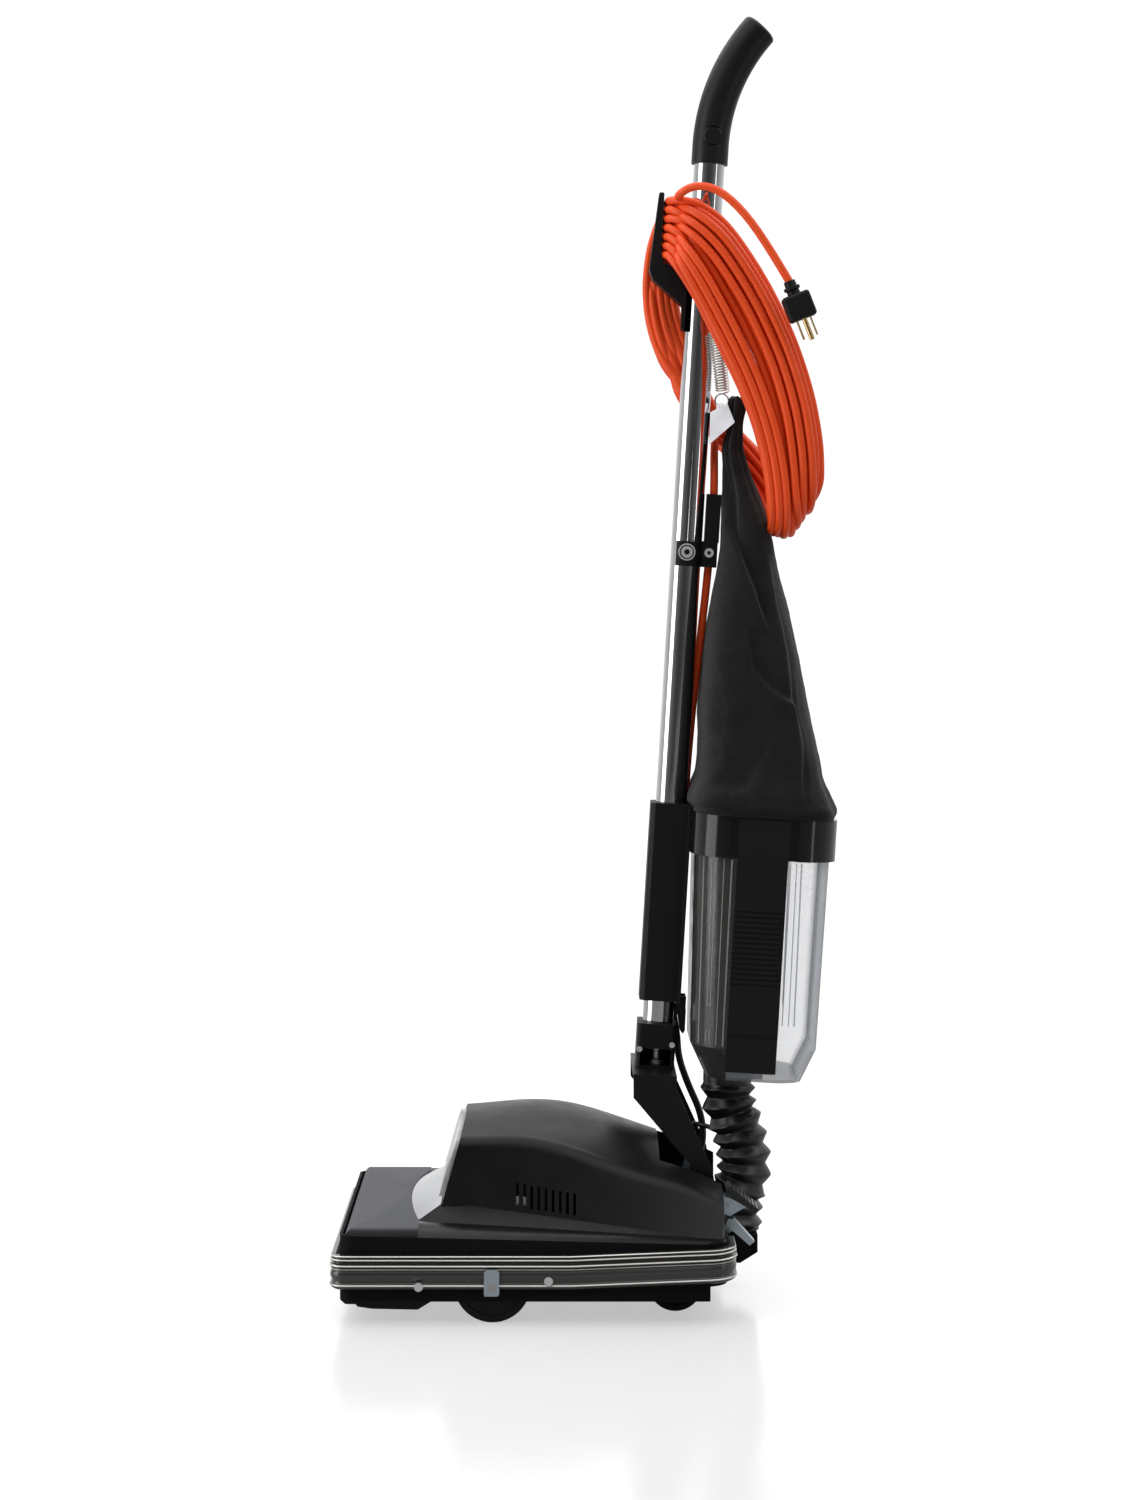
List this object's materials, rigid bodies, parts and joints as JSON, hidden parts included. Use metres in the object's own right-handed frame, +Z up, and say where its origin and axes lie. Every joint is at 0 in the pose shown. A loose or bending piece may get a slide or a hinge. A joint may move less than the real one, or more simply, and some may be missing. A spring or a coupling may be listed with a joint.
{
  "type": "upright vacuum cleaner",
  "caption": "Commercial upright vacuum: wide ribbed-guard base, hinged chrome handle with curved grip, rear dirt cup under a cloth bag, coiled orange mains cord.",
  "frame": {"origin": "floor level under the middle of the machine's overall width and depth, cord left out", "axes": "+X to the machine's left (the side the near wheels and plug are on), -Y the front of the nozzle, +Z up"},
  "size_m": [0.334, 0.4579, 1.1792],
  "materials": {
    "black_gloss_shell": "gloss black moulding",
    "nozzle_grey": "finely textured blue-grey moulding",
    "black_satin_shell": "satin black moulding",
    "bright_trim": "polished bright plate",
    "clear_lens": "clear moulded lens",
    "bulb_glass": "clear bulb",
    "guard_rubber": "satin black extruded strip",
    "black_steel": "black powder coat",
    "motor_can": "cast motor frame",
    "winding": "laminations and windings",
    "bearing_bronze": "sintered bronze",
    "duct_black": "plain black moulding",
    "belt_rubber": "flat belt",
    "bare_steel": "bare sheet steel",
    "zinc_plate": "bright zinc plating",
    "chrome_screw": "plated fasteners",
    "rotor_steel": "ground steel",
    "fan_metal": "pressed fan",
    "brush_wood": "turned and lacquered",
    "bristle": "stiff bristles",
    "wheel_black": "hard black wheel",
    "pad_rubber": "ribbed pedal pad",
    "chrome_tube": "bright chrome plating",
    "grip_black": "smooth satin grip",
    "switch_part": "moulded switch",
    "bag_cloth": "woven black cloth",
    "spring_wire": "spring wire",
    "hose_black": "ribbed flexible hose",
    "lead_black": "black cable jacket",
    "cord_orange": "round cable jacket",
    "plug_black": "moulded plug",
    "plug_brass": "plated blades",
    "clear_cup": "clear moulded cup",
    "smoked_duct": "smoked clear moulding"
  },
  "bodies": {
    "base": {"chassis": "black_gloss_shell", "nozzle_cover": "nozzle_grey", "top_deck": "black_gloss_shell", "motor_hood": "black_satin_shell", "trim_plate": "bright_trim", "headlight_lens": "clear_lens", "headlight_bulb": "bulb_glass", "furniture_guard": "guard_rubber", "bottom_plate": "black_steel", "motor_housing": "motor_can", "field_coil": "winding", "bearings": "bearing_bronze", "fan_housing": "duct_black", "suction_duct": "duct_black", "exhaust_duct": "duct_black", "hose_port": "duct_black", "drive_belt": "belt_rubber", "axles": "bare_steel", "axle_clips": "zinc_plate", "guard_screws": "chrome_screw", "rear_brackets": "zinc_plate", "hinge_pins": "bare_steel", "detent_bar": "zinc_plate"},
    "rotor": {"motor_shaft": "rotor_steel", "armature": "rotor_steel", "fan": "fan_metal"},
    "brush": {"brush_roll": "brush_wood", "bristle_tufts": "bristle"},
    "wheel_front_left": {"front_wheel_left": "wheel_black"},
    "wheel_front_right": {"front_wheel_right": "wheel_black"},
    "wheel_rear_left": {"rear_wheel_left": "wheel_black"},
    "wheel_rear_right": {"rear_wheel_right": "wheel_black"},
    "pedal": {"pedal_lever": "zinc_plate", "pedal_pad": "pad_rubber"},
    "handle": {"yoke": "black_steel", "tube_socket": "black_satin_shell", "handle_bolts": "chrome_screw", "lower_tube": "chrome_tube", "upper_tube": "chrome_tube", "grip": "grip_black", "switch_body": "switch_part", "cord_hook": "black_satin_shell", "cup_bracket": "black_gloss_shell", "cup_bezel": "black_satin_shell", "cloth_bag": "bag_cloth", "bag_clip": "chrome_screw", "bag_spring": "spring_wire", "hose": "hose_black", "motor_lead": "lead_black", "cord_clamp": "black_satin_shell", "cord_lead": "cord_orange", "cord_coil": "cord_orange", "cord_tail": "cord_orange", "plug": "plug_black", "plug_blades": "plug_brass"},
    "button": {"switch_button": "switch_part"},
    "cup": {"dirt_cup": "clear_cup", "cup_bands": "black_satin_shell", "intake_duct": "smoked_duct"},
    "latch": {"cup_latch": "black_satin_shell"}
  },
  "joints": [
    {"name": "handle_recline", "type": "hinge", "parent": "base", "child": "handle", "pos_m": [0, 0.104, 0.1], "axis": [-1, 0, 0], "range_deg": [0, 75], "deforming": ["hose", "motor_lead"]},
    {"name": "release_pedal", "type": "hinge", "parent": "base", "child": "pedal", "pos_m": [0.087, 0.126, 0.095], "axis": [-1, 0, 0], "range_deg": [0, 15], "stiffness_Nm_per_rad": 0.8, "springref_deg": -8.59},
    {"name": "front_wheel_left_spin", "type": "hinge", "parent": "base", "child": "wheel_front_left", "pos_m": [0.14, -0.084, 0.034], "axis": [1, 0, 0], "continuous": true},
    {"name": "front_wheel_right_spin", "type": "hinge", "parent": "base", "child": "wheel_front_right", "pos_m": [-0.14, -0.084, 0.034], "axis": [1, 0, 0], "continuous": true},
    {"name": "rear_wheel_left_spin", "type": "hinge", "parent": "base", "child": "wheel_rear_left", "pos_m": [0.097, 0.0793, 0.0245], "axis": [1, 0, 0], "continuous": true},
    {"name": "rear_wheel_right_spin", "type": "hinge", "parent": "base", "child": "wheel_rear_right", "pos_m": [-0.097, 0.0793, 0.0245], "axis": [1, 0, 0], "continuous": true},
    {"name": "motor_spin", "type": "hinge", "parent": "base", "child": "rotor", "pos_m": [0, -0.06, 0.095], "axis": [1, 0, 0], "continuous": true},
    {"name": "brush_spin", "type": "hinge", "parent": "base", "child": "brush", "pos_m": [0, -0.184, 0.033], "axis": [1, 0, 0], "continuous": true},
    {"name": "switch_press", "type": "slide", "parent": "handle", "child": "button", "axis": [-1, 0, 0], "range_m": [0, 0.0025], "stiffness_N_per_m": 500, "springref_m": -0.002},
    {"name": "cup_release", "type": "slide", "parent": "handle", "child": "cup", "axis": [0, -0.0602, -0.9982], "range_m": [0, 0.03]},
    {"name": "cup_latch_tilt", "type": "hinge", "parent": "handle", "child": "latch", "pos_m": [0, 0.08852, 0.25872], "axis": [-1, 0, 0], "range_deg": [0, 8], "stiffness_Nm_per_rad": 0.4, "springref_deg": -11.46}
  ],
  "couplings": [
    {"joint": "brush_spin", "follows": "motor_spin", "ratio": 0.5}
  ]
}
